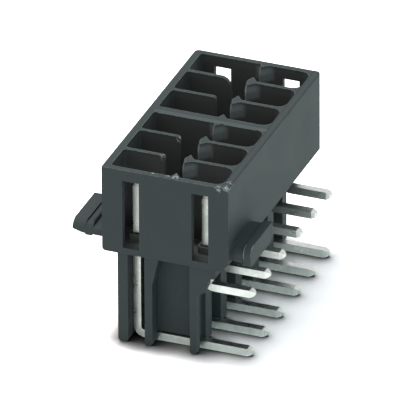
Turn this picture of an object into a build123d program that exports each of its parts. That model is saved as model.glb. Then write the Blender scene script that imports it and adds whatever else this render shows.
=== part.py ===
from build123d import *
import math
import os

# Right-angle circuit board connector: one moulded housing and twelve bent square contacts.
# While it is modelled, x runs from the block's left face, y from its front face and z
# down from the mating rim. The last step moves it to the middle of its underside.

# Contact grid
rows_per_half = 3          # contacts on each side of the middle wall, in each column
row_pitch = 3.5
middle_pitch = 4.0         # pitch across the middle wall
end_margin = 1.92          # from an end face to the first contact
left_column_x = 2.5
column_spacing = 6.2

# Contacts
pin_size = 0.7
pin_hole_clearance = 0.01
pin_tip_depth = 1.95       # tips of the mating legs below the rim
bend_inside_radius = 0.3
upper_run_depth = 10.62    # centre line of the right column's solder legs
lower_run_depth = 16.28    # centre line of the left column's solder legs
upper_tip_x = 13.05        # ends of the upper solder legs
lower_tip_x = 12.82
mating_tip_across = 0.17
mating_tip_along = 0.35
solder_tip_across = 0.25     # the solder legs' blunt tips, coned in two steps
solder_tip_along = 0.46
solder_shoulder_across = 0.1
solder_shoulder_along = 0.3

# Mating block
body_width = 11.33
body_height = 8.0
left_wall = 0.65
right_wall = 0.67
end_wall = 0.5
divider = 0.34
middle_wall = 0.95
middle_bevel = 0.3         # bevel on the middle wall's front edge
middle_bevel_drop = 0.07
chamber_depth = 7.4
front_divider_reach = 3.65 # left dividers of the front half, from the left wall's inner face
back_divider_reach = 3.97
divider_nose_radius = 0.28
last_nose_radius = 0.95    # the rearmost left divider
left_corner_radius = 0.3
right_corner_radius = 0.85
back_edge_radius = 0.4
underside_cut = 0.75       # 45 degree cut along the lower right edge
lower_left_radius = 0.3

# Guide posts at the free ends of the right dividers
post_left_x = 5.9
post_width = 1.13
post_nose_offset = 0.35    # nose from the post's left side
post_front_reach = 0.74    # noses beyond the wall that carries the post
post_back_reach = 0.9
post_root_lap = 0.01       # overlap of a post's halves inside a divider, at the top
post_top_depth = 0.75      # height of the tapered top
post_top_inset = 0.15      # taper of each side over that height

# Windows in the end walls
window_width = 1.49
window_offset = 0.09       # window's middle to the right of its contacts
window_top_depth = 1.03
window_height = 6.4

# Collars round the contacts on the chamber floor
collar_size = 1.34
collar_height = 0.65
collar_edge_radius = 0.25
collar_recess = 0.12       # dished top round the contact
collar_recess_rim = 0.14

# Lower body
foot_drop = 0.03           # feet of the walls below the lower solder legs
front_inset = 0.38         # lower body behind the block's front face
back_inset = 0.4           # lower body short of the block's back face
left_plate_x = 1.22
plate_gap = 0.03           # plates to the contacts' legs
centre_plate_x = 3.63
centre_plate = 0.68
fin_thickness = 1.35
fin_gap = 0.2              # contact to the fin behind it
run_notch_gap = 0.06
right_rib = 0.63
right_rib_depth = 0.6
right_rib_web = 0.25
panel_relief = 0.6         # bare front panel proud of the first fin
centre_flare = 0.62        # widening of the centre plate's front end under the block
centre_flare_depth = 2.8
foot_radius = 0.32
foot_round_share = 0.45    # most of a wall's thickness that a foot's rounding may take
ledge_end_x = 10.04
ledge_height = 1.12
ledge_radius = 0.3
gusset_root = 1.1
gusset_toe = 0.72
gusset_height = 1.9
gusset_toe_height = 0.48   # height at which the gusset's edge turns in to the rib
gusset_hollow = 0.08       # sagitta of the gusset's hollow edge

# Side tabs
tab_front = 0.45
tab_back = 5.57
tab_corner_cut = 0.5
tab_lower_radius = 0.18
left_nose_radius = 0.85
left_web_radius = 0.4
left_tab_reach = 2.86
left_tab_top = 5.95
left_tab_bottom = 7.05
left_bar_width = 1.14
left_bar_edge = 0.75       # thickness of the bar at its outer edge
left_strip_width = 0.66
left_strip_drop = 0.08     # the strip's top below the bar's
left_strip_bulge = 0.13    # the strip's underside below the bar's
left_strip_radius = 0.2
left_web_drop = 0.4
right_nose_radius = 0.75
right_tab_x = 13.15        # outer face
right_bar_width = 0.68
right_tab_top = 5.62
right_tab_bottom = 7.35
right_web_top = 5.9
right_web_bottom = 7.15
right_web_inset = 0.16     # web's front behind the bar's

# Places worked out from the sizes above
half_span = (rows_per_half - 1) * row_pitch
body_length = 2 * end_margin + 2 * half_span + middle_pitch
middle_y = body_length / 2
front_rows = [end_margin + i * row_pitch for i in range(rows_per_half)]
row_ys = front_rows + [body_length - y for y in reversed(front_rows)]
right_column_x = left_column_x + column_spacing
half_pin = pin_size / 2
right_inner_x = body_width - right_wall
divider_ends = [left_wall + front_divider_reach, left_wall + back_divider_reach]
post_root = divider / 2 + post_top_inset + post_root_lap
post_top_left_x = post_left_x + post_top_inset
nose_radii = [[divider_nose_radius] * (rows_per_half - 1),
              [divider_nose_radius] * (rows_per_half - 2) + [last_nose_radius]]
lower_back = body_length - back_inset
left_plate = left_column_x - half_pin - plate_gap - left_plate_x
fin_end_x = right_column_x - half_pin - plate_gap
run_top = lower_run_depth - half_pin
foot_depth = lower_run_depth + half_pin + foot_drop   # undersides of the lower walls
solder_runs = {"left": (lower_run_depth, lower_tip_x), "right": (upper_run_depth, upper_tip_x)}
column_xs = {"left": left_column_x, "right": right_column_x}
overlap = 0.2              # how far a cut runs past the face that it opens


# Helpers
def outline(*points):
    """A flat face with straight sides."""
    return make_face(Polyline(*points, close=True))


def plan_box(x_from, x_to, y_from, y_to):
    """A rectangle in the plan, corner to corner."""
    return outline((x_from, y_from), (x_to, y_from), (x_to, y_to), (x_from, y_to))


def down(face, depth_from, depth_to):
    """Extrude a plan face between two depths below the rim."""
    return extrude(Pos(0, 0, -depth_to) * face, depth_to - depth_from)


def along(face, y_from, y_to):
    """Extrude an end-view face, drawn in x and z, from one y to another."""
    return extrude(Plane.XZ.offset(-y_from) * face, -(y_to - y_from))


def across(face, x_from, x_to):
    """Extrude a side-view face, drawn in y and z, from one x to another."""
    return extrude(Plane.YZ.offset(x_from) * face, x_to - x_from)


# Mating block, with its chambers, windows and guide posts
def block_shell():
    profile = outline(
        (0, 0),
        (body_width, 0),
        (body_width, underside_cut - body_height),
        (body_width - underside_cut, -body_height),
        (0, -body_height),
    )
    lower_left = profile.vertices().group_by(Axis.Y)[0].sort_by(Axis.X)[0]
    profile = fillet(lower_left, lower_left_radius)
    plan = plan_box(0, body_width, 0, body_length)
    plan = fillet(plan.vertices().group_by(Axis.Y)[-1], back_edge_radius)
    return along(profile, 0, body_length) & down(plan, 0, body_height)


def chamber_bounds():
    """Front and back of each row's chamber: a list for the front half and one for the back."""
    wall_half = divider / 2
    front = [end_wall]
    for y in front_rows[:-1]:
        front += [y + row_pitch / 2 - wall_half, y + row_pitch / 2 + wall_half]
    front.append(middle_y - middle_wall / 2)
    pairs = list(zip(front[0::2], front[1::2]))
    return [pairs, [(body_length - b, body_length - a) for a, b in reversed(pairs)]]


def chambers():
    cells = Sketch()
    for half, divider_end in zip(chamber_bounds(), divider_ends):
        for y_from, y_to in half:
            left_cell = plan_box(left_wall, post_left_x, y_from, y_to)
            left_cell = fillet(left_cell.vertices().group_by(Axis.X)[0], left_corner_radius)
            right_cell = plan_box(divider_end, right_inner_x, y_from, y_to)
            right_cell = fillet(right_cell.vertices().group_by(Axis.X)[-1], right_corner_radius)
            cells += [left_cell, right_cell]
        cells += plan_box(divider_end, post_top_left_x, half[0][0], half[-1][1])
    return down(cells, -overlap, chamber_depth)


def divider_noses():
    """What is taken off the free top corners of the left dividers."""
    noses = Part()
    for half, divider_end, radii in zip(chamber_bounds(), divider_ends, nose_radii):
        for before, behind, radius in zip(half[:-1], half[1:], radii):
            centre_x = divider_end - radius
            corner = outline((centre_x, -radius), (divider_end, -radius),
                             (divider_end, 0), (centre_x, 0))
            corner -= Pos(centre_x, -radius) * Circle(radius)
            noses += along(corner, before[1], behind[0])
    return noses


def wall_bevel():
    """The bevel on the front edge of the middle wall."""
    wall_front = middle_y - middle_wall / 2
    wedge = outline((wall_front, 0), (wall_front, -middle_bevel_drop),
                    (wall_front + middle_bevel, 0))
    return across(wedge, left_wall + left_corner_radius, right_inner_x - right_corner_radius)


def guide_half(face_y, reach):
    """The pointed half of a post that stands out from a wall face; a reach below 0 is frontwards."""
    sides = (post_left_x, post_left_x + post_width)
    first, last = sides if reach > 0 else reversed(sides)
    root = face_y - math.copysign(post_root, reach)
    plan = outline((first, root), (last, root), (last, face_y),
                   (post_left_x + post_nose_offset, face_y + reach), (first, face_y))
    taper = math.degrees(math.atan2(post_top_inset, post_top_depth))
    top = extrude(Pos(0, 0, -post_top_depth) * plan, post_top_depth, taper=taper)
    return top + down(plan, post_top_depth, chamber_depth)


def guide_posts():
    posts = Part()
    for half in chamber_bounds():
        for y_from, y_to in half:
            posts += guide_half(y_from, post_back_reach)
            posts += guide_half(y_to, -post_front_reach)
    return posts


def windows():
    cuts = Part()
    top, bottom = window_top_depth, window_top_depth + window_height
    for x in column_xs.values():
        for y_from in (-overlap, body_length - end_wall - overlap):
            middle = x + window_offset
            plan = plan_box(middle - window_width / 2, middle + window_width / 2,
                            y_from, y_from + end_wall + 2 * overlap)
            cuts += down(plan, top, bottom)
    return cuts


def collars():
    """Raised collars, with dished tops, that the contacts stand in."""
    rings = Part()
    top = chamber_depth - collar_height
    dish_size = pin_size + 2 * collar_recess_rim
    for x in column_xs.values():
        for y in row_ys:
            ring = down(Pos(x, y) * RectangleRounded(collar_size, collar_size, collar_edge_radius),
                        top, chamber_depth + overlap)
            ring -= down(Pos(x, y) * Rectangle(dish_size, dish_size), top, top + collar_recess)
            rings += ring
    return rings


# Lower body: plates along the length and a fin behind each row of contacts
def foot_profile(x_from, x_to, rounded):
    """End view of a wall of the lower body; its rounded lower corners are counted from the right."""
    wall = outline((x_from, -foot_depth), (x_to, -foot_depth),
                   (x_to, overlap - body_height), (x_from, overlap - body_height))
    corners = wall.vertices().group_by(Axis.Y)[0].sort_by(Axis.X)[-rounded:]
    return fillet(corners, min(foot_radius, foot_round_share * (x_to - x_from)))


def fins():
    plates = (
        along(foot_profile(left_plate_x, left_plate_x + left_plate, 2), front_inset, lower_back)
        + along(foot_profile(centre_plate_x, centre_plate_x + centre_plate, 2),
                front_inset, lower_back)
    )
    fin = foot_profile(left_plate_x + left_plate / 2, fin_end_x, 1)
    for y in row_ys:
        fin_front = y + half_pin + fin_gap
        plates += along(fin, fin_front, min(fin_front + fin_thickness, lower_back))
    return plates


def front_ribs():
    """The bare front panel, the right rib and the flare of the centre plate."""
    fin_front = row_ys[0] + half_pin + fin_gap
    panel_y = fin_front - panel_relief
    rib_x = fin_end_x - right_rib
    panel = down(plan_box(centre_plate_x + centre_plate / 2, rib_x + right_rib_web,
                          panel_y, fin_front + overlap),
                 body_height - overlap, run_top - run_notch_gap)
    rib_back = front_inset + right_rib_depth
    rib = along(foot_profile(rib_x, fin_end_x, 2), front_inset, rib_back)
    web = down(plan_box(rib_x, rib_x + right_rib_web, rib_back - overlap, fin_front + overlap),
               body_height - overlap, foot_depth - foot_radius)
    plate_right = centre_plate_x + centre_plate
    flare = outline(
        (centre_plate_x, overlap - body_height),
        (plate_right + centre_flare, overlap - body_height),
        (plate_right + centre_flare, -body_height),
        (plate_right, -body_height - centre_flare_depth),
        (centre_plate_x, -body_height - centre_flare_depth),
    )
    return panel + rib + web + along(flare, front_inset, panel_y + overlap)


def ledge():
    """The step under the block that rests on the board, with a gusset at each end."""
    top = overlap - body_height
    bottom = -body_height - ledge_height
    x_from = fin_end_x - right_rib
    step = outline((x_from, bottom), (ledge_end_x, bottom), (ledge_end_x, top), (x_from, top))
    lower_right = step.vertices().group_by(Axis.Y)[0].sort_by(Axis.X)[-1]
    step = fillet(lower_right, ledge_radius)
    foot = bottom - gusset_height
    root = (fin_end_x + gusset_root, bottom)
    toe = (fin_end_x + gusset_toe, foot + gusset_toe_height)
    gusset = make_face([
        Polyline(toe, (fin_end_x, foot), (x_from, foot), (x_from, bottom + overlap),
                 (root[0], bottom + overlap), root),
        SagittaArc(root, toe, gusset_hollow),
    ])
    fin_front = row_ys[-1] + half_pin + fin_gap
    return (along(step, front_inset, lower_back)
            + along(gusset, front_inset, front_inset + right_rib_depth)
            + along(gusset, fin_front, lower_back))


def run_notches():
    """Notches, open below, where the lower solder legs cross the plates."""
    cuts = Part()
    half = half_pin + run_notch_gap
    for y in row_ys:
        plan = plan_box(left_column_x, body_width, y - half, y + half)
        cuts += down(plan, run_top - run_notch_gap, foot_depth + overlap)
    return cuts


def pin_holes():
    cuts = Part()
    size = pin_size + 2 * pin_hole_clearance
    for x in column_xs.values():
        for y in row_ys:
            cuts += down(Pos(x, y) * Rectangle(size, size), 0, body_height + ledge_height + overlap)
    return cuts


# Side tabs: bars along their outer edges, joined to the block by thinner webs
def tab_piece(profile, nose_radius, inset=0):
    """Extrude an end view along a tab, round its front edges and cut its lower back corner."""
    front = tab_front + inset
    solid = along(profile, front, tab_back)
    box = solid.bounding_box()
    side = plan_box(front, tab_back, box.min.Z, box.max.Z)
    side = fillet(side.vertices().sort_by_distance((front, box.max.Z))[0], nose_radius)
    side = fillet(side.vertices().sort_by_distance((front, box.min.Z))[0], tab_lower_radius)
    side = chamfer(side.vertices().sort_by_distance((tab_back, box.min.Z))[0], tab_corner_cut)
    return solid & across(side, box.min.X, box.max.X)


def left_tab():
    bar_in = left_bar_width - left_tab_reach
    strip_in = bar_in + left_strip_width
    top, bottom = -left_tab_top, -left_tab_bottom
    bar = outline(
        (bar_in, top),
        (-left_tab_reach, top),
        (-left_tab_reach, top - left_bar_edge),
        (bar_in, bottom),
    )
    web = outline((bar_in, bottom), (overlap, bottom), (overlap, top - left_web_drop),
                  (bar_in, top - left_web_drop))
    strip_top, strip_bottom = top - left_strip_drop, bottom - left_strip_bulge
    strip = outline((bar_in, strip_bottom), (strip_in, strip_bottom), (strip_in, strip_top),
                    (bar_in, strip_top))
    strip = fillet(strip.vertices(), left_strip_radius)
    return (tab_piece(bar, left_nose_radius) + tab_piece(strip, left_nose_radius)
            + tab_piece(web, left_web_radius))


def right_tab():
    bar_in = right_tab_x - right_bar_width
    bar = outline((bar_in, -right_tab_bottom), (right_tab_x, -right_tab_bottom),
                  (right_tab_x, -right_tab_top), (bar_in, -right_tab_top))
    web = outline(
        (body_width - overlap, -right_web_bottom), (bar_in + overlap, -right_web_bottom),
        (bar_in + overlap, -right_web_top), (body_width - overlap, -right_web_top),
    )
    return (tab_piece(bar, right_nose_radius)
            + tab_piece(web, right_nose_radius - right_web_inset, right_web_inset))


def housing():
    block = block_shell() - chambers() - divider_noses() - wall_bevel() - windows()
    body = block + guide_posts() + collars()
    body += fins() + front_ribs() + ledge()
    body += left_tab() + right_tab()
    body -= run_notches() + pin_holes()
    return body


# Contacts
def solder_leg(x_from, tip_x):
    """Outline of a solder leg, the same from the side and from above, with its blunt tip."""
    root = tip_x - solder_tip_along
    half_shoulder = half_pin - solder_shoulder_across
    half_end = half_pin - solder_tip_across
    return outline(
        (x_from, -half_pin), (root, -half_pin), (root + solder_shoulder_along, -half_shoulder),
        (tip_x, -half_end), (tip_x, half_end), (root + solder_shoulder_along, half_shoulder),
        (root, half_pin), (x_from, half_pin),
    )


def contact(column_x, run_depth, tip_x):
    """A square pin, bent once: the mating leg stands up and the solder leg points right."""
    left, right = column_x - half_pin, column_x + half_pin
    bottom = run_depth + half_pin
    profile = Pos(0, -run_depth) * solder_leg(left, tip_x)
    profile += outline((left, -pin_tip_depth), (right, -pin_tip_depth),
                       (right, -run_depth), (left, -run_depth))
    inner = profile.vertices().sort_by_distance((right, half_pin - run_depth))[0]
    profile = fillet(inner, bend_inside_radius)
    outer = profile.vertices().sort_by_distance((left, -bottom))[0]
    profile = fillet(outer, bend_inside_radius + pin_size)
    pin = along(profile, -pin_size, pin_size)
    pin &= down(solder_leg(left - overlap, tip_x), pin_tip_depth - overlap, bottom + overlap)
    mating_end = pin.faces().sort_by(Axis.Z)[-1]
    return pin.chamfer(mating_tip_across, mating_tip_along, mating_end.edges(), mating_end)


# Everything moves so that the origin is the middle of the underside
centre_x = (max(right_tab_x, upper_tip_x, lower_tip_x) - left_tab_reach) / 2
to_origin = Pos(-centre_x, -middle_y, foot_depth)

os.makedirs("parts", exist_ok=True)
export_step(to_origin * housing(), "parts/housing.step")
for side, column_x in column_xs.items():
    pin = contact(column_x, *solder_runs[side])
    for number, y in enumerate(row_ys, start=1):
        export_step(to_origin * Pos(0, y, 0) * pin, f"parts/pin_{side}_{number}.step")
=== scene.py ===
import math

import bpy
from mathutils import Matrix, Vector


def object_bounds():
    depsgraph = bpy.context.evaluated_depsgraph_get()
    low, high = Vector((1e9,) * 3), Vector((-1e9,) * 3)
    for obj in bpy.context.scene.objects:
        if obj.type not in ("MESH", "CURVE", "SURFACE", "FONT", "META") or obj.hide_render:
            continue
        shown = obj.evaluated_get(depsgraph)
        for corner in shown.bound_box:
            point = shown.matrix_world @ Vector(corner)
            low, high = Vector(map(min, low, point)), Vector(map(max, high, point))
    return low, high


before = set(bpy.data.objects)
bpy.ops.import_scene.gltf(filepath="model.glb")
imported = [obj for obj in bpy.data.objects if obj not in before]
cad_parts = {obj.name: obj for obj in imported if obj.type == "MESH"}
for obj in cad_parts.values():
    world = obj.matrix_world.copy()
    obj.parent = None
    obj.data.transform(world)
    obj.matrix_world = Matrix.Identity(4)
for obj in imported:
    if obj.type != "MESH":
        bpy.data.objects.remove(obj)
cad_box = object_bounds()

# Sizes are in metres and the frame is the CAD model's own. MM turns millimetres into metres.
MM = 0.001
BLACK = (0.0, 0.0, 0.0, 1.0)
WHITE = (1.0, 1.0, 1.0, 1.0)

# The camera, worked out from the photograph's block edges, window corners and leg tips
IMAGE_SIDE = 408
CAMERA_AZIMUTH = 21.38
CAMERA_ELEVATION = 29.17
CAMERA_ROLL = -0.34
CAMERA_DISTANCE = 1218 * MM
CAMERA_CLIP = (0.01, 10.0)
SENSOR_WIDTH = 36.0                                  # in millimetres, as Blender wants it
PIXELS_PER_MM = 11.878
SCALE_POINT = Vector((0.945, -0.22, 8.66)) * MM      # where that scale holds
SCALE_POINT_PIXEL = (216.14, 204.04)

# The world's light and the lamp, which stands up on the left
WORLD_LEVEL = 0.5
WORLD_COLOUR = WHITE
WORLD_RIGHT_COLOUR = (0.80, 1.00, 1.10, 1.0)         # the light from the right is a little cooler
WORLD_RIGHT_SPAN = (0.0, 0.7)                        # X of the directions where it comes in
KEY_LIGHT_WIDTH = 0.06
KEY_LIGHT_PLACE = Vector((-0.105, 0.015, 0.335))
KEY_LIGHT_POWER = 0.45

# The floor. What the camera and the metal see of it is brighter than what lights the object.
FLOOR_SIDE = 0.9
FLOOR_COLOUR = (0.84, 0.84, 0.86, 1.0)
FLOOR_SEEN_COLOUR = (3.02, 2.86, 2.80, 1.0)
FLOOR_MIRRORED_COLOUR = (1.85, 1.88, 1.80, 1.0)
SHADOW_REACH = 2.6 * MM                      # how near the object has to be to deepen its shadow
SHADOW_POWER = 2.9
SHADOW_LEAN = (-0.4, 0.36, 0.84)             # towards the side of the sky that counts most
SHADOW_SAMPLES = 16

# Boxes on the part, in millimetres: the spans along X, Y and Z, and how far the sides fade out
RIM = cad_box[1][2] / MM                     # the top of the part
# the chambers, whose walls get painted fill light
CHAMBERS = ((-4.52, 5.54), (-10.45, 10.45), (9.0, RIM - 0.35), 0.25)
# the guide posts' upper sides, which get painted light
GUIDE_POSTS = ((0.74, 1.90), (-10.4, 10.4), (RIM - 1.25, RIM - 0.4), 0.35)
# the middle strip, which gets a painted highlight
MIDDLE_STRIP = ((-4.5, 5.6), (-0.50, -0.10), (RIM - 0.09, RIM + 1), 0.04)
# the rim tops, which get burr and painted edge highlights
RIM_TOPS = ((-5.2, 6.3), (-11.0, 11.0), (RIM - 0.12, RIM + 1), 0.08)
# the rim's outer and inner edges, which get painted shade
RIM_OUTER_SHADE_LINE = ((6.10, 6.3), (-10.6, 10.8), (RIM - 0.10, RIM + 1), 0.03)
RIM_INNER_SHADE_LINE = ((5.55, 5.60), (-10.2, 10.8), (RIM - 0.10, RIM + 1), 0.03)
# the right tab, whose edges get painted highlights
RIGHT_TAB = ((6.3, 8.2), (-10.7, -5.2), (9.1, 11.3), 0.05)
# the contacts' upright runs, which get painted shade
UPRIGHT_RUNS = ((-6.0, 4.3), (-12.0, 12.0), (2.0, 17.0), 0.6)

# Heights in millimetres between which the painted fill light on the deep chamber walls comes in and fades
# out
DEEP_FILL_LIGHT_IN = (9.8, 11.4)                   # above the collars round the windows
DEEP_FILL_LIGHT_OUT = (RIM - 4.5, RIM - 0.8)       # towards the chambers' mouths

# Spots on the part, in millimetres: X, Y and Z of the middle, and the radius
FLASH_SPOTS = ((-0.95, -7.30, 16.5, 0.45), (-0.85, -3.85, 16.4, 0.50), (0.80, -10.1, 16.6, 0.75),
               (5.95, -10.6, 16.6, 0.60), (5.45, -2.80, 16.6, 0.20), (-0.5, -10.35, 16.6, 0.5),
               (-0.72, -7.73, 16.6, 0.30), (-0.6, -4.36, 16.6, 0.30), (0.30, -10.2, 16.6, 0.35),
               (1.30, -10.5, 16.6, 0.45), (5.40, -10.9, 16.6, 0.50), (5.95, -9.80, 16.6, 0.40))
# the glint spots are painted highlights
GLINT_SPOTS = ((7.43, -10.35, 10.5, 0.70), (7.70, -10.0, 10.9, 0.60))     # round the right tab's nose

# Colours
PLASTIC_DARK = (0.054, 0.069, 0.069, 1.0)
PLASTIC_LIGHT = (0.065, 0.081, 0.081, 1.0)
# painted fill light on the chamber walls, and its stronger band partway down
PLASTIC_CHAMBER_FILL_LIGHT = (0.088, 0.092, 0.086, 1.0)
PLASTIC_DEEP_FILL_LIGHT = (0.136, 0.146, 0.134, 1.0)
# painted highlight on the edges and the middle strip
PLASTIC_EDGE_HIGHLIGHT = (0.125, 0.145, 0.143, 1.0)
# painted light on the guide posts' sides
PLASTIC_POST_LIGHT = (0.25, 0.275, 0.265, 1.0)
# burr and painted edge highlights on the rim
PLASTIC_BURR_AND_HIGHLIGHT = (0.22, 0.24, 0.23, 1.0)
# painted shade along the rim's edges
PLASTIC_SHADE_LINE = (0.022, 0.029, 0.031, 1.0)
# pale mould flash, and painted glints on the right tab
PLASTIC_FLASH_AND_GLINT = (0.42, 0.46, 0.46, 1.0)
TIN_LIGHT = (0.74, 0.76, 0.73, 1.0)
TIN_DARK = (0.56, 0.585, 0.57, 1.0)
# painted shade for the darker reflections on the upright runs
TIN_UPRIGHT_SHADE = (0.43, 0.445, 0.42, 1.0)
TIN_STAINED = (0.34, 0.30, 0.22, 1.0)

# Ranges: a pattern's values in the first span are spread out over the second
PLASTIC_TONES = ((0.35, 0.65), (0.0, 1.0))
PLASTIC_ROUGHNESS = ((0.3, 0.7), (0.56, 0.68))
# the next three break up the painted highlights and the painted light on the posts
EDGE_HIGHLIGHT_GRAIN = ((0.3, 0.7), (0.25, 0.95))
HIGHLIGHT_GRAIN = ((0.25, 0.65), (0.7, 1.0))
POST_LIGHT_GRAIN = ((0.3, 0.7), (0.6, 1.0))
BURR_AND_HIGHLIGHT_BREAKS = ((0.42, 0.60), (0.15, 1.0))
FLASH_CRUMBS = ((0.50, 0.62), (0.0, 1.0))
FLECK_OUTLINE = ((0.1, 0.5), (0.0, 1.0))
TIN_TONES = ((0.35, 0.65), (0.0, 1.0))
TIN_STREAKS = ((0.3, 0.7), (0.5, 1.0))
TIN_STAINS = ((0.35, 0.65), (0.35, 0.9))
TIN_ROUGHNESS = ((0.0, 1.0), (0.24, 0.36))
# strength of the middle strip's painted highlight
STRIP_STRENGTH = 0.7
# strength of the painted shade along the rim
SHADE_LINE_STRENGTH = 0.8

# Edges: the radius they are rounded over, and how far the surface turns where the mask starts and ends
BEVEL_SAMPLES = 8
PLASTIC_EDGES = (0.09 * MM, (0.02, 0.14))
PLASTIC_WIDE_EDGES = (0.17 * MM, (0.02, 0.10))
TIN_EDGES = (0.07 * MM, (0.02, 0.16))


# Node helpers
def new_material(name):
    material = bpy.data.materials.new(name)
    material.use_nodes = True
    tree = material.node_tree
    tree.nodes.clear()
    return material, tree


def feed(tree, socket, value):
    """Links the input socket to an output socket, or sets a plain value on it."""
    if isinstance(value, bpy.types.NodeSocket):
        tree.links.new(value, socket)
    else:
        socket.default_value = value


def add_node(tree, kind, inputs, **settings):
    """A shader node with its settings, and with its inputs fed by name or number."""
    node = tree.nodes.new(kind)
    for name, value in settings.items():
        setattr(node, name, value)
    for name, value in inputs.items():
        feed(tree, node.inputs[name], value)
    return node


def maths(tree, operation, first, *others):
    """The operation on the first two values, then on that result and each further value."""
    result = first
    for other in others:
        node = add_node(tree, "ShaderNodeMath", {0: result, 1: other}, operation=operation)
        result = node.outputs["Value"]
    return result


def blend_of(tree, first, second, share):
    """A share of the first value, and the rest from the second."""
    return maths(tree, "ADD", maths(tree, "MULTIPLY", first, share),
                 maths(tree, "MULTIPLY", second, 1.0 - share))


def spread(tree, value, old, new=(0.0, 1.0)):
    """Maps a value from the old span to the new one, and holds it inside that."""
    node = add_node(tree, "ShaderNodeMapRange", {"Value": value, "From Min": old[0], "From Max": old[1],
                                                 "To Min": new[0], "To Max": new[1]}, clamp=True)
    return node.outputs["Result"]


def mix_colour(tree, factor, first, second):
    node = add_node(tree, "ShaderNodeMix", {"Factor": factor}, data_type="RGBA")
    colour_inputs = [socket for socket in node.inputs if socket.type == "RGBA"]
    for socket, colour in zip(colour_inputs, (first, second)):
        feed(tree, socket, colour)
    return [socket for socket in node.outputs if socket.type == "RGBA"][0]


def position_in_mm(tree, stretch=(1, 1, 1)):
    """The surface point in millimetres, with each axis stretched."""
    place = add_node(tree, "ShaderNodeNewGeometry", {}).outputs["Position"]
    scale = [factor / MM for factor in stretch]
    return add_node(tree, "ShaderNodeVectorMath", {0: place, 1: scale},
                    operation="MULTIPLY").outputs["Vector"]


def noise(tree, vector, scale, detail, roughness):
    inputs = {"Vector": vector, "Scale": scale, "Detail": detail, "Roughness": roughness}
    return add_node(tree, "ShaderNodeTexNoise", inputs).outputs["Fac"]


def inside_box(tree, place, box):
    """1 inside a box and 0 outside it, with soft sides."""
    *spans, softness = box
    axes = add_node(tree, "ShaderNodeSeparateXYZ", {"Vector": place})
    sides = []
    for axis, (low, high) in zip("XYZ", spans):
        sides.append(spread(tree, axes.outputs[axis], (low - softness, low)))
        sides.append(spread(tree, axes.outputs[axis], (high, high + softness), (1.0, 0.0)))
    return maths(tree, "MULTIPLY", *sides)


def near_spots(tree, place, spots):
    """1 at the middle of any of the spots and 0 at its radius."""
    masks = []
    for *middle, radius in spots:
        gap = add_node(tree, "ShaderNodeVectorMath", {0: place, 1: middle}, operation="DISTANCE")
        masks.append(spread(tree, gap.outputs["Value"], (0.0, radius), (1.0, 0.0)))
    return maths(tree, "MAXIMUM", *masks)


def rounded_normal(tree, radius):
    return add_node(tree, "ShaderNodeBevel", {"Radius": radius}, samples=BEVEL_SAMPLES).outputs["Normal"]


def edge_mask(tree, radius, turns):
    """1 on edges and corners and 0 on the faces, by how far the rounded normal turns."""
    true_normal = add_node(tree, "ShaderNodeNewGeometry", {}).outputs["Normal"]
    likeness = add_node(tree, "ShaderNodeVectorMath", {0: rounded_normal(tree, radius), 1: true_normal},
                        operation="DOT_PRODUCT").outputs["Value"]
    return spread(tree, maths(tree, "SUBTRACT", 1.0, likeness), turns)


def add_surface(tree, shader_inputs, height, rounding, bump_strength, bump_depth):
    """The material's shader and output, with rounded edges and a bump from the height."""
    bump = add_node(tree, "ShaderNodeBump", {"Strength": bump_strength, "Distance": bump_depth,
                                             "Height": height, "Normal": rounded_normal(tree, rounding)})
    shader = add_node(tree, "ShaderNodeBsdfPrincipled", shader_inputs)
    feed(tree, shader.inputs["Normal"], bump.outputs["Normal"])
    add_node(tree, "ShaderNodeOutputMaterial", {"Surface": shader.outputs["BSDF"]})


def seen_directly(tree):
    """1 for camera, glossy and transmission rays, and 0 for the rays that light the object."""
    path = add_node(tree, "ShaderNodeLightPath", {}).outputs
    return maths(tree, "MAXIMUM", path["Is Camera Ray"], path["Is Glossy Ray"], path["Is Transmission Ray"])


# Materials
def plastic_body_and_fill_light(tree, place, blend):
    """The moulding compound's own colour, with painted fill light on the chamber walls that is strongest
    partway down.
    """
    outside = mix_colour(tree, spread(tree, blend, *PLASTIC_TONES), PLASTIC_DARK, PLASTIC_LIGHT)
    level = add_node(tree, "ShaderNodeSeparateXYZ", {"Vector": place}).outputs["Z"]
    # a band partway down the chambers gets stronger painted fill light
    deep = maths(tree, "MULTIPLY", spread(tree, level, DEEP_FILL_LIGHT_IN),
                 spread(tree, level, DEEP_FILL_LIGHT_OUT, (1.0, 0.0)))
    inside = mix_colour(tree, deep, PLASTIC_CHAMBER_FILL_LIGHT, PLASTIC_DEEP_FILL_LIGHT)
    return mix_colour(tree, inside_box(tree, place, CHAMBERS), outside, inside)


def plastic_highlights(tree, place, grain, wide_edges):
    """Masks of the painted highlights along the edges, the right tab's edges and the middle strip, broken
    up by the grain, and of the painted light on the guide posts' sides.
    """
    edges = edge_mask(tree, *PLASTIC_EDGES)
    # painted highlights along the edges, wider on the right tab
    tab_edge_highlights = maths(tree, "MULTIPLY", inside_box(tree, place, RIGHT_TAB), wide_edges)
    grainy_edge_highlights = maths(tree, "MULTIPLY", maths(tree, "MAXIMUM", edges, tab_edge_highlights),
                 spread(tree, grain, *EDGE_HIGHLIGHT_GRAIN))
    strip = maths(tree, "MULTIPLY", inside_box(tree, place, MIDDLE_STRIP), STRIP_STRENGTH)
    edge_highlights = maths(tree, "MULTIPLY", maths(tree, "MAXIMUM", grainy_edge_highlights, strip),
                   spread(tree, grain, *HIGHLIGHT_GRAIN))
    # painted light on the guide posts' upper sides
    posts = maths(tree, "MULTIPLY", inside_box(tree, place, GUIDE_POSTS), spread(tree, grain, *POST_LIGHT_GRAIN))
    return edge_highlights, posts


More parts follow.
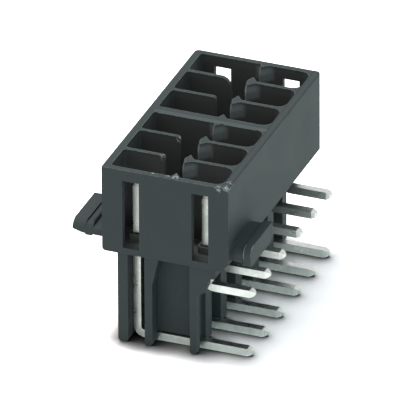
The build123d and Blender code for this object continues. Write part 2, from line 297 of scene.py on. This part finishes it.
def plastic_marks_and_shading(tree, place, wide_edges):
    """Masks of burr and painted edge highlights on the rim tops, of painted shade along the rim's outer and
    inner edges, and of pale mould flash there and painted glints on the right tab's nose.
    """
    crumbs = noise(tree, place, scale=5.0, detail=2.0, roughness=0.5)
    # burr and painted edge highlights along the rim tops
    burrs_and_highlights = maths(tree, "MULTIPLY", wide_edges, inside_box(tree, place, RIM_TOPS),
                  spread(tree, crumbs, *BURR_AND_HIGHLIGHT_BREAKS))
    # painted shade along the rim's outer and inner edges
    shade_lines = maths(tree, "MAXIMUM", inside_box(tree, place, RIM_OUTER_SHADE_LINE),
                  inside_box(tree, place, RIM_INNER_SHADE_LINE))
    flash = maths(tree, "MULTIPLY", near_spots(tree, place, FLASH_SPOTS),
                  spread(tree, crumbs, *FLASH_CRUMBS))
    # painted glints round the right tab's nose
    glint = maths(tree, "MULTIPLY", near_spots(tree, place, GLINT_SPOTS), wide_edges)
    flash_and_glints = spread(tree, maths(tree, "MAXIMUM", flash, glint), *FLECK_OUTLINE)
    return burrs_and_highlights, maths(tree, "MULTIPLY", shade_lines, SHADE_LINE_STRENGTH), flash_and_glints


def housing_plastic():
    """Near-black moulding compound with a matt grain and painted fill light in the chambers, with painted
    highlights, painted light on the posts, burr, painted shade along the rim, mould flash and painted
    glints laid over it.
    """
    material, tree = new_material("housing_plastic")
    place = position_in_mm(tree)
    cloud = noise(tree, place, scale=0.35, detail=4.0, roughness=0.6)
    fibre_place = position_in_mm(tree, stretch=(6.0, 6.0, 1.6))
    fibres = noise(tree, fibre_place, scale=1.3, detail=3.0, roughness=0.6)
    grain = noise(tree, place, scale=14.0, detail=2.0, roughness=0.6)
    blend = blend_of(tree, cloud, fibres, share=0.6)
    colour = plastic_body_and_fill_light(tree, place, blend)
    wide_edges = edge_mask(tree, *PLASTIC_WIDE_EDGES)
    edge_highlights, posts = plastic_highlights(tree, place, grain, wide_edges)
    burrs_and_highlights, shade_lines, flash_and_glints = plastic_marks_and_shading(tree, place, wide_edges)
    for mask, mark_colour in ((edge_highlights, PLASTIC_EDGE_HIGHLIGHT), (posts, PLASTIC_POST_LIGHT), (burrs_and_highlights, PLASTIC_BURR_AND_HIGHLIGHT),
                              (shade_lines, PLASTIC_SHADE_LINE), (flash_and_glints, PLASTIC_FLASH_AND_GLINT)):
        colour = mix_colour(tree, mask, colour, mark_colour)
    roughness = spread(tree, blend, *PLASTIC_ROUGHNESS)
    shader_inputs = {"Base Color": colour, "Roughness": roughness, "IOR": 1.45, "Specular IOR Level": 0.26}
    add_surface(tree, shader_inputs, height=blend_of(tree, grain, fibres, share=0.7),
                rounding=0.06 * MM, bump_strength=0.35, bump_depth=0.02 * MM)
    return material


def contact_tin():
    """Tin plating with drawing marks and dull patches, painted shade broken into streaks on the upright
    runs, and stained edges.
    """
    material, tree = new_material("contact_tin")
    place = position_in_mm(tree)
    drawn_place = position_in_mm(tree, stretch=(1.0, 22.0, 1.0))
    drawn = noise(tree, drawn_place, scale=0.8, detail=3.0, roughness=0.6)
    streak_place = position_in_mm(tree, stretch=(5.0, 5.0, 0.5))
    streaks = noise(tree, streak_place, scale=1.0, detail=3.0, roughness=0.6)
    patches = noise(tree, place, scale=1.6, detail=4.0, roughness=0.6)
    pits = noise(tree, place, scale=9.0, detail=3.0, roughness=0.7)
    dull = spread(tree, blend_of(tree, drawn, patches, share=0.5), *TIN_TONES)
    # painted shade, broken into streaks, on the contacts' upright runs
    upright = maths(tree, "MULTIPLY", inside_box(tree, place, UPRIGHT_RUNS),
                    spread(tree, streaks, *TIN_STREAKS))
    stained = maths(tree, "MULTIPLY", edge_mask(tree, *TIN_EDGES), spread(tree, patches, *TIN_STAINS))
    colour = TIN_LIGHT
    for mask, mark_colour in ((dull, TIN_DARK), (upright, TIN_UPRIGHT_SHADE), (stained, TIN_STAINED)):
        colour = mix_colour(tree, mask, colour, mark_colour)
    roughness = spread(tree, dull, *TIN_ROUGHNESS)
    shader_inputs = {"Base Color": colour, "Roughness": roughness, "Metallic": 1.0}
    add_surface(tree, shader_inputs, height=blend_of(tree, drawn, pits, share=0.8),
                rounding=0.05 * MM, bump_strength=0.2, bump_depth=0.012 * MM)
    return material


def floor_material():
    """A pale floor, seen as white, with the shadow deeper close to what stands on it."""
    material, tree = new_material("floor")
    lean = add_node(tree, "ShaderNodeCombineXYZ", dict(zip("XYZ", SHADOW_LEAN))).outputs["Vector"]
    open_sky = add_node(tree, "ShaderNodeAmbientOcclusion", {"Distance": SHADOW_REACH, "Normal": lean},
                        samples=SHADOW_SAMPLES).outputs["AO"]
    lit = maths(tree, "POWER", open_sky, SHADOW_POWER)
    by_camera = mix_colour(tree, lit, BLACK, FLOOR_SEEN_COLOUR)
    camera_ray = add_node(tree, "ShaderNodeLightPath", {}).outputs["Is Camera Ray"]
    seen = mix_colour(tree, camera_ray, FLOOR_MIRRORED_COLOUR, by_camera)
    colour = mix_colour(tree, seen_directly(tree), FLOOR_COLOUR, seen)
    shader = add_node(tree, "ShaderNodeBsdfDiffuse", {"Color": colour})
    add_node(tree, "ShaderNodeOutputMaterial", {"Surface": shader.outputs["BSDF"]})
    return material


def dress_nodes():
    plastic, tin = housing_plastic(), contact_tin()
    for name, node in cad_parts.items():
        node.data.materials.clear()
        node.data.materials.append(plastic if name == "housing" else tin)


# Studio
def build_floor():
    half = FLOOR_SIDE / 2
    mesh = bpy.data.meshes.new("floor")
    corners = [(-half, -half, 0), (half, -half, 0), (half, half, 0), (-half, half, 0)]
    mesh.from_pydata(corners, [], [(0, 1, 2, 3)])
    floor = bpy.data.objects.new("floor", mesh)
    mesh.materials.append(floor_material())
    bpy.context.scene.collection.objects.link(floor)


def build_world():
    """A soft light from all round, which is plain white where it is seen directly."""
    world = bpy.data.worlds.new("studio")
    bpy.context.scene.world = world
    world.use_nodes = True
    tree = world.node_tree
    tree.nodes.clear()
    direction = add_node(tree, "ShaderNodeTexCoord", {}).outputs["Generated"]
    side = add_node(tree, "ShaderNodeSeparateXYZ", {"Vector": direction}).outputs["X"]
    light = mix_colour(tree, spread(tree, side, WORLD_RIGHT_SPAN), WORLD_COLOUR, WORLD_RIGHT_COLOUR)
    seen = seen_directly(tree)
    colour = mix_colour(tree, seen, light, WHITE)
    strength = maths(tree, "MAXIMUM", seen, WORLD_LEVEL)
    backdrop = add_node(tree, "ShaderNodeBackground", {"Color": colour, "Strength": strength})
    add_node(tree, "ShaderNodeOutputWorld", {"Surface": backdrop.outputs["Background"]})


def build_key_light():
    light = bpy.data.lights.new("key", "AREA")
    light.shape = "DISK"
    light.size = KEY_LIGHT_WIDTH
    light.energy = KEY_LIGHT_POWER
    lamp = bpy.data.objects.new("key", light)
    lamp.location = KEY_LIGHT_PLACE
    lamp.rotation_euler = (SCALE_POINT - KEY_LIGHT_PLACE).to_track_quat("-Z", "Y").to_euler()
    bpy.context.scene.collection.objects.link(lamp)


def build_camera():
    """A long lens that puts SCALE_POINT on its pixel, at the photograph's scale and angle."""
    azimuth, elevation, roll = (math.radians(angle) for angle in
                                (CAMERA_AZIMUTH, CAMERA_ELEVATION, CAMERA_ROLL))
    back = Vector((math.sin(azimuth) * math.cos(elevation),
                   -math.cos(azimuth) * math.cos(elevation), math.sin(elevation)))
    level_right = Vector((math.cos(azimuth), math.sin(azimuth), 0))
    level_up = back.cross(level_right)
    right = level_right * math.cos(roll) + level_up * math.sin(roll)
    up = level_up * math.cos(roll) - level_right * math.sin(roll)
    off_right = (SCALE_POINT_PIXEL[0] - IMAGE_SIDE / 2) / PIXELS_PER_MM * MM
    off_down = (SCALE_POINT_PIXEL[1] - IMAGE_SIDE / 2) / PIXELS_PER_MM * MM
    aim = SCALE_POINT - right * off_right + up * off_down
    place = aim + back * CAMERA_DISTANCE
    data = bpy.data.cameras.new("camera")
    data.sensor_width = SENSOR_WIDTH
    data.lens = PIXELS_PER_MM / MM * CAMERA_DISTANCE * SENSOR_WIDTH / IMAGE_SIDE
    data.clip_start, data.clip_end = CAMERA_CLIP
    camera = bpy.data.objects.new("camera", data)
    axes = Matrix((right, up, back)).transposed()
    camera.matrix_world = Matrix.Translation(place) @ axes.to_4x4()
    bpy.context.scene.collection.objects.link(camera)
    bpy.context.scene.camera = camera


dress_nodes()
build_floor()
build_world()
build_key_light()
build_camera()
bpy.context.scene.view_settings.view_transform = "Standard"
